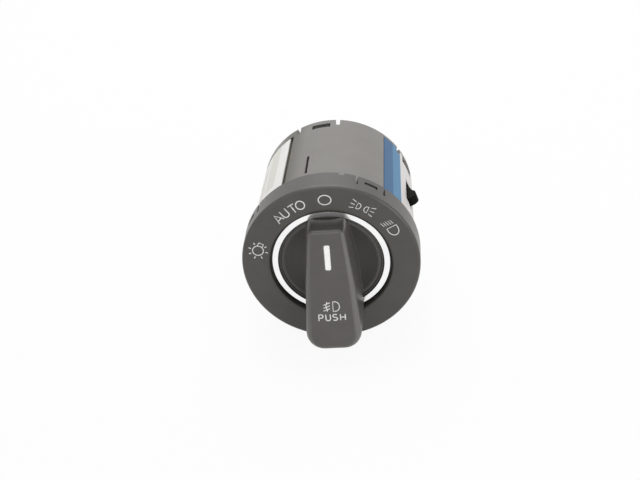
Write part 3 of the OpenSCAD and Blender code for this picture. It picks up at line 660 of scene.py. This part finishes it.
def makeFloor():
    shape = bmesh.new()
    bmesh.ops.create_grid(shape, x_segments=1, y_segments=1, size=stageSizes["floor"])
    bmesh.ops.translate(shape, verts=shape.verts, vec=(0, 0, stageSizes["floorZ"]))
    mesh = bpy.data.meshes.new("floor")
    shape.to_mesh(mesh)
    shape.free()
    floor = bpy.data.objects.new("floor", mesh)
    bpy.context.scene.collection.objects.link(floor)
    material = bpy.data.materials.new("palePaperFloor")
    material.use_nodes = True
    tree = material.node_tree
    tree.nodes.clear()
    rays = addNode(tree, "ShaderNodeLightPath")
    seen = addNode(tree, "ShaderNodeMath", {"operation": "MAXIMUM"},
                   {0: rays.outputs["Is Camera Ray"], 1: rays.outputs["Is Glossy Ray"]})
    share = addNode(tree, "ShaderNodeMath", {"operation": "MULTIPLY", 1: stageSizes["white"]},
                    {0: seen.outputs[0]})
    paper = addNode(tree, "ShaderNodeBsdfDiffuse", {"Color": (0.9, 0.9, 0.9, 1)})
    glow = addNode(tree, "ShaderNodeEmission", {"Color": (1, 1, 1, 1), "Strength": 1.0})
    mix = addNode(tree, "ShaderNodeMixShader", links={
        0: share.outputs[0], 1: paper.outputs[0], 2: glow.outputs[0]})
    addNode(tree, "ShaderNodeOutputMaterial", links={"Surface": mix.outputs[0]})
    mesh.materials.append(material)


def makeWorld():
    world = bpy.data.worlds.new("softRoom")
    bpy.context.scene.world = world
    world.use_nodes = True
    tree = world.node_tree
    tree.nodes.clear()
    rays = addNode(tree, "ShaderNodeLightPath")
    mirror = addNode(tree, "ShaderNodeMath", {"operation": "MAXIMUM"},
                     {0: rays.outputs["Is Glossy Ray"], 1: rays.outputs["Is Transmission Ray"]})
    seen = addNode(tree, "ShaderNodeMath", {"operation": "MAXIMUM"},
                   {0: rays.outputs["Is Camera Ray"], 1: mirror.outputs[0]})
    room = addNode(tree, "ShaderNodeBackground", {"Color": (1, 1, 1, 1), "Strength": stageSizes["room"]})
    white = addNode(tree, "ShaderNodeBackground", {"Color": (1, 1, 1, 1), "Strength": 1.0})
    mix = addNode(tree, "ShaderNodeMixShader", links={
        0: seen.outputs[0], 1: room.outputs[0], 2: white.outputs[0]})
    addNode(tree, "ShaderNodeOutputWorld", links={"Surface": mix.outputs[0]})


lamps = {
    # place in metres, aim, size, watts; a sheen lamp shows in gloss only
    "upperSoftbox": {"at": (-0.02, 0.36, 0.7), "aim": (0, 0.02, 0), "size": 0.7, "power": 4.5},
    "frontFill": {"at": (-0.4, -0.85, 0.15), "aim": (0, 0, 0), "size": 0.6, "power": 0.9},
    "rightFill": {"at": (0.56, -0.52, 0.06), "aim": (0, 0, 0), "size": 0.5, "power": 2.5},
    "topSheen": {"at": (-0.06, -0.4, 0.62), "aim": (0, 0, 0), "size": 0.4, "power": 1.1, "sheen": True},
}


def makeLamp(name, values):
    light = bpy.data.lights.new(name, "AREA")
    light.size = values["size"]
    light.energy = values["power"]
    lamp = bpy.data.objects.new(name, light)
    at = Vector(values["at"])
    lamp.location = at
    lamp.rotation_euler = (Vector(values["aim"]) - at).to_track_quat("-Z", "Y").to_euler()
    lamp.visible_diffuse = not values.get("sheen", False)
    bpy.context.scene.collection.objects.link(lamp)


def makeCamera():
    # fitted to the photograph: right, up and back are the camera's own axes
    right = Vector((0.99367908, 0.05815793, -0.09601846))
    up = Vector((0.05023803, 0.53452003, 0.84366135))
    back = Vector((0.10038939, -0.84315241, 0.52821963))
    data = bpy.data.cameras.new("camera")
    data.lens = 70.405
    data.sensor_width = 36
    data.clip_start = 0.01
    camera = bpy.data.objects.new("camera", data)
    camera.matrix_world = (Matrix.Translation((0.0414347, -0.3825616, 0.2438889))
                           @ Matrix((right, up, back)).transposed().to_4x4())
    bpy.context.scene.collection.objects.link(camera)
    bpy.context.scene.camera = camera


makeFloor()
makeWorld()
for lampName, values in lamps.items():
    makeLamp(lampName, values)
makeCamera()
bpy.context.scene.view_settings.view_transform = "Standard"
print("stage, %d lamps and camera" % len(lamps))
